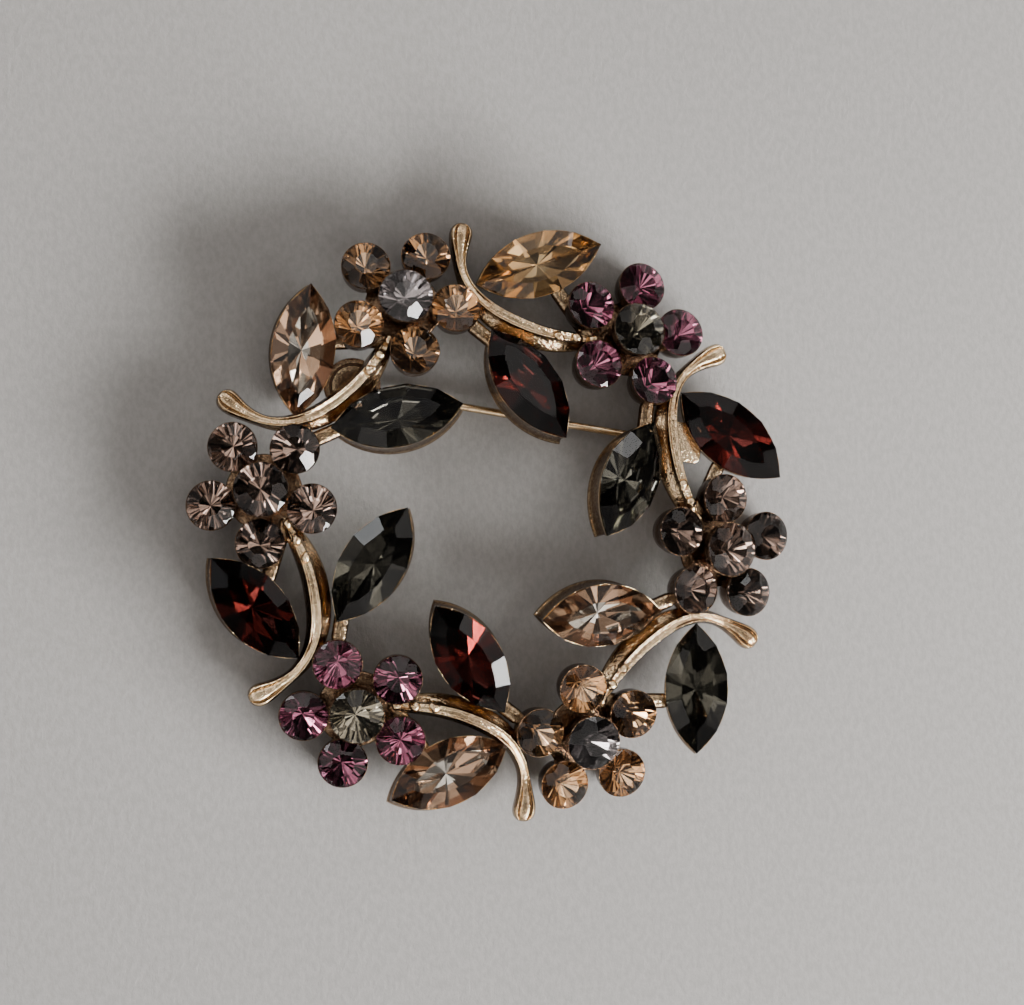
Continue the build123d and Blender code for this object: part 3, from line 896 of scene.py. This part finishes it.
def strapPiece(start, end, top):  # a disc drawn out into a bar with round ends
    run = end - start
    run.z = 0.0
    radius, thick = strap["width"] / 2 * mm, strap["thick"] * mm
    bpy.ops.object.select_all(action="DESELECT")
    bpy.ops.mesh.primitive_cylinder_add(vertices=strap["sides"], radius=radius, depth=thick)
    piece = added("strap")
    edit(piece, "VERT")
    pick(piece, "verts", lambda v: v.co.x > hair)
    bpy.ops.transform.translate(value=(run.length, 0, 0))
    done()
    rounded(piece, strap["edge"])
    place = Matrix.Translation((start.x, start.y, (top - strap["thick"] / 2) * mm))
    aim = -Vector((1, 0)).angle_signed(run.to_2d())
    piece.data.transform(place @ Matrix.Rotation(aim, 4, "Z"))
    return piece


twigEnd = onRadius(*twigRows[-1][:2]) * mm
rootPetal = petalPlaces[strap["rootPetal"] - 1].to_translation()
for number, spray in sprayPlaces.items():
    side = outerPlaces[number] @ (Vector(strap["onLeaf"]) * mm)
    root = innerPlaces[number] @ (Vector((strap["rootShare"] * wreath["leafLength"], 0, 0)) * mm)
    petalEdge = rootPetal + (root - rootPetal).normalized() * strap["start"] * mm
    parts = [
        strapPiece(side, twigEnd, strap["top"]),
        strapPiece(petalEdge, root, strap["top"] + strap["rise"]),
    ]
    for part in parts:
        part.data.transform(spray)
        markPaintedShade(part, paintedShadeAmounts["strap"])
    cast(joined(f"straps_{number}", parts))
print("straps made")

# hinge and catch, in the pin's own frame: X from hinge to catch, Z up
fittings = {
    "hinge": (-12.688, 12.2105, 0.91), "run": (0.98635, -0.164664, 0.0), "length": 30.5058,
    "sides": 40, "edge": 0.07, "rise": 1.2, "earRadius": 0.91, "earThick": 0.45, "earAt": 0.975,
    "bore": 0.39, "boreLength": 2.0,
    "catchLength": 1.6, "catchBore": 0.45, "catchBoreLength": 3.0, "catchOpening": -1.2,
    "padSide": 3.6, "padShift": 0.6, "padTop": 1.45, "padThick": 0.45,
    "padCorner": 0.6, "cornerSteps": 6, "padEdge": 0.08,
    "roundPadSides": 56, "roundPad": (
        (2.48, 1.00), (2.58, 1.05), (2.60, 1.15), (2.60, 1.32), (2.56, 1.42), (2.46, 1.45),
        (2.14, 1.45), (2.06, 1.38), (1.94, 1.38), (1.86, 1.45), (1.20, 1.45), (0.60, 1.43),
    ),
}
pinRun = Vector(fittings["run"])
pinAcross = Vector((-pinRun.y, pinRun.x, 0.0))
pinPlace = Matrix.Translation(Vector(fittings["hinge"]) * mm) @ Matrix(
    ((pinRun.x, pinAcross.x, 0, 0), (pinRun.y, pinAcross.y, 0, 0), (0, 0, 1, 0), (0, 0, 0, 1))
)


def arch(name, radius, thick, axis, stretch=0.0):  # a disc on edge, one half drawn up or down
    bpy.ops.object.select_all(action="DESELECT")
    angle = (radians(90), 0, 0) if axis == "Y" else (0, radians(90), 0)
    bpy.ops.mesh.primitive_cylinder_add(
        vertices=fittings["sides"], radius=radius * mm, depth=thick * mm, rotation=angle
    )
    piece = added(name)
    if stretch:
        edit(piece, "VERT")
        pick(piece, "verts", lambda v: v.co.z * stretch > hair)
        bpy.ops.transform.translate(value=(0, 0, stretch * mm))
        done()
    return piece


archRise = fittings["rise"] - fittings["earRadius"]
hingeParts = [turned("hingePad", fittings["roundPad"], fittings["roundPadSides"])]
for side in (-1, 1):
    ear = arch("ear", fittings["earRadius"], fittings["earThick"], "Y", archRise)
    cut(ear, arch("bore", fittings["bore"], fittings["boreLength"], "Y"))
    rounded(ear, fittings["edge"])
    ear.data.transform(shift(0, side * fittings["earAt"]))
    hingeParts.append(ear)
for part in hingeParts:
    part.data.transform(pinPlace)
    markPaintedShade(part, paintedShadeAmounts["hingePad"] if part == hingeParts[0] else 0.0)
cast(joined("hinge_fitting", hingeParts))

catch = arch("catch", fittings["earRadius"], fittings["catchLength"], "X", archRise)
cut(catch, arch(
    "bore", fittings["catchBore"], fittings["catchBoreLength"], "X", fittings["catchOpening"]
))
rounded(catch, fittings["edge"])
bpy.ops.object.select_all(action="DESELECT")
bpy.ops.mesh.primitive_cube_add(
    size=mm, scale=(fittings["padSide"], fittings["padSide"], fittings["padThick"]),
    location=(fittings["padShift"] * mm, 0, (fittings["padTop"] - fittings["padThick"] / 2) * mm),
)
catchPad = added("catchPad")
edit(catchPad, "EDGE")
pick(catchPad, "edges", lambda e: abs(e.verts[0].co.z - e.verts[1].co.z) > 0.1 * mm)
bpy.ops.mesh.bevel(
    offset=fittings["padCorner"] * mm, segments=fittings["cornerSteps"], affect="EDGES"
)
done()
rounded(catchPad, fittings["padEdge"])
for part in (catch, catchPad):
    part.data.transform(pinPlace @ shift(fittings["length"]))
cast(joined("catch_fitting", [catch, catchPad]))
print("hinge and catch made")

for node in ("pin", "hinge_rivet"):
    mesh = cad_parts[node].data
    mesh.materials.clear()
    mesh.materials.append(wireMetal)
print("pin and rivet finished")
